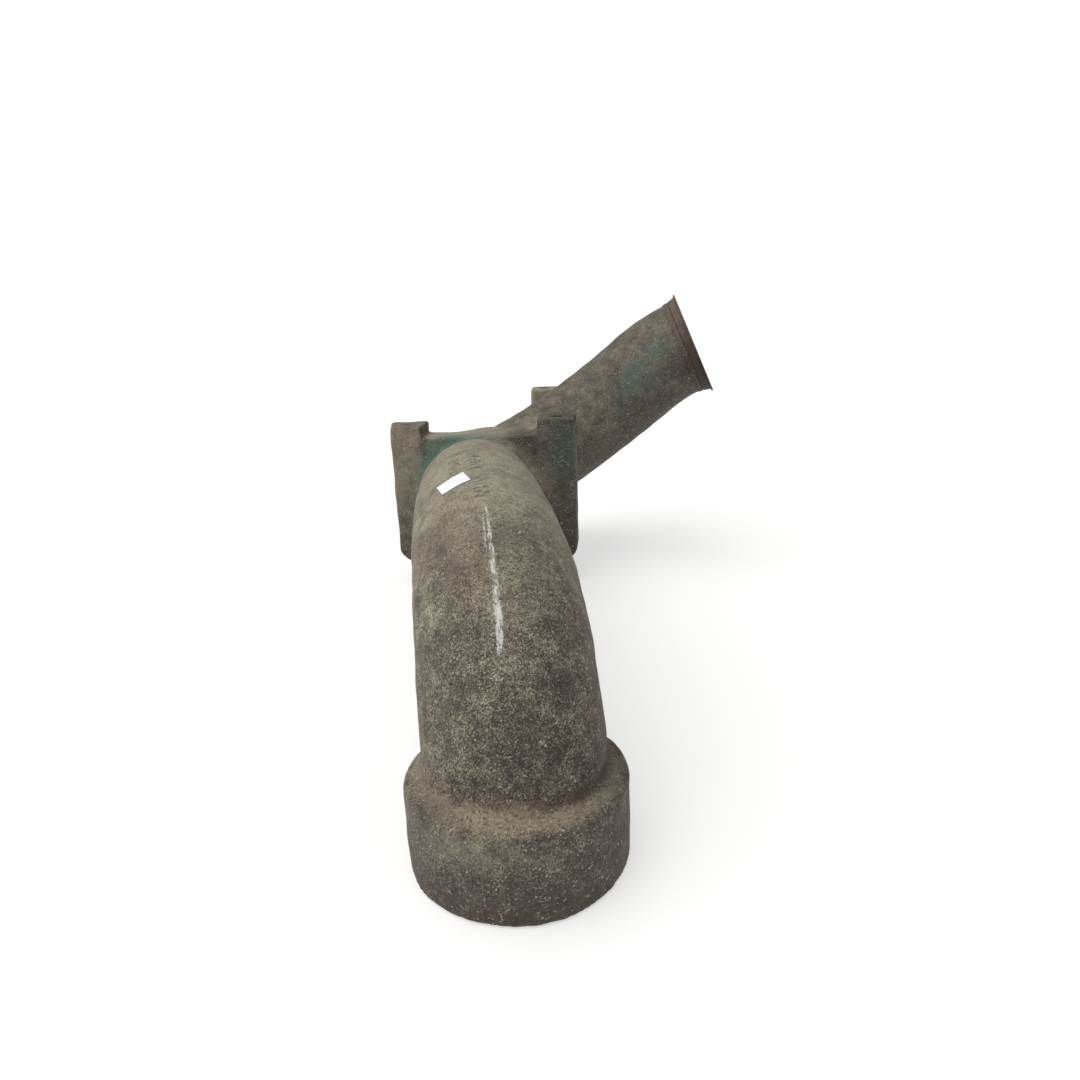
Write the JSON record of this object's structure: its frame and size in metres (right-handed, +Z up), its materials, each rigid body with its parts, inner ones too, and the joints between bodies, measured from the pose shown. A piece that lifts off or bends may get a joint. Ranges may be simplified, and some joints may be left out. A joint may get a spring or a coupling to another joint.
{
  "type": "bracketed pipe elbow",
  "caption": "Bracketed pipe elbow: slip-on bell socket, long swept bend through a post-mounted saddle bracket, and an upswept outlet bend with a vee-band flange.",
  "frame": {"origin": "centre of the bell's mouth", "axes": "+Z up the bell's axis into the socket, +Y along the inlet bend's run towards the bracket, +X towards the side the outlet turns to"},
  "size_m": [0.3685, 0.6587, 0.2881],
  "materials": {
    "cast_body": "rough sand-cast surface, dusty grey-brown, mottled with dark stains",
    "cast_green": "rough casting with the remains of blue-green paint",
    "cast_rusty": "rough casting, reddish brown",
    "green_paint": "worn blue-green paint over cast metal",
    "flange_steel": "rust-brown, dull",
    "seal_rubber": "matt black",
    "label_paper": "white paper, matt"
  },
  "bodies": {
    "root": {"inlet_bell": "cast_body", "neck_weld": "cast_body", "bell_seal_ring": "seal_rubber", "inlet_bend": "cast_body", "front_weld": "green_paint", "bracket_web": "cast_body", "post_front_left": "cast_body", "post_front_right": "cast_green", "post_rear": "cast_rusty", "rear_gusset": "cast_body", "rear_weld": "cast_body", "outlet_bend": "cast_body", "inlet_run": "cast_body", "outlet_riser": "cast_body", "outlet_sleeve": "flange_steel", "outlet_vee_flange": "flange_steel", "stock_label": "label_paper"}
  },
  "joints": []
}
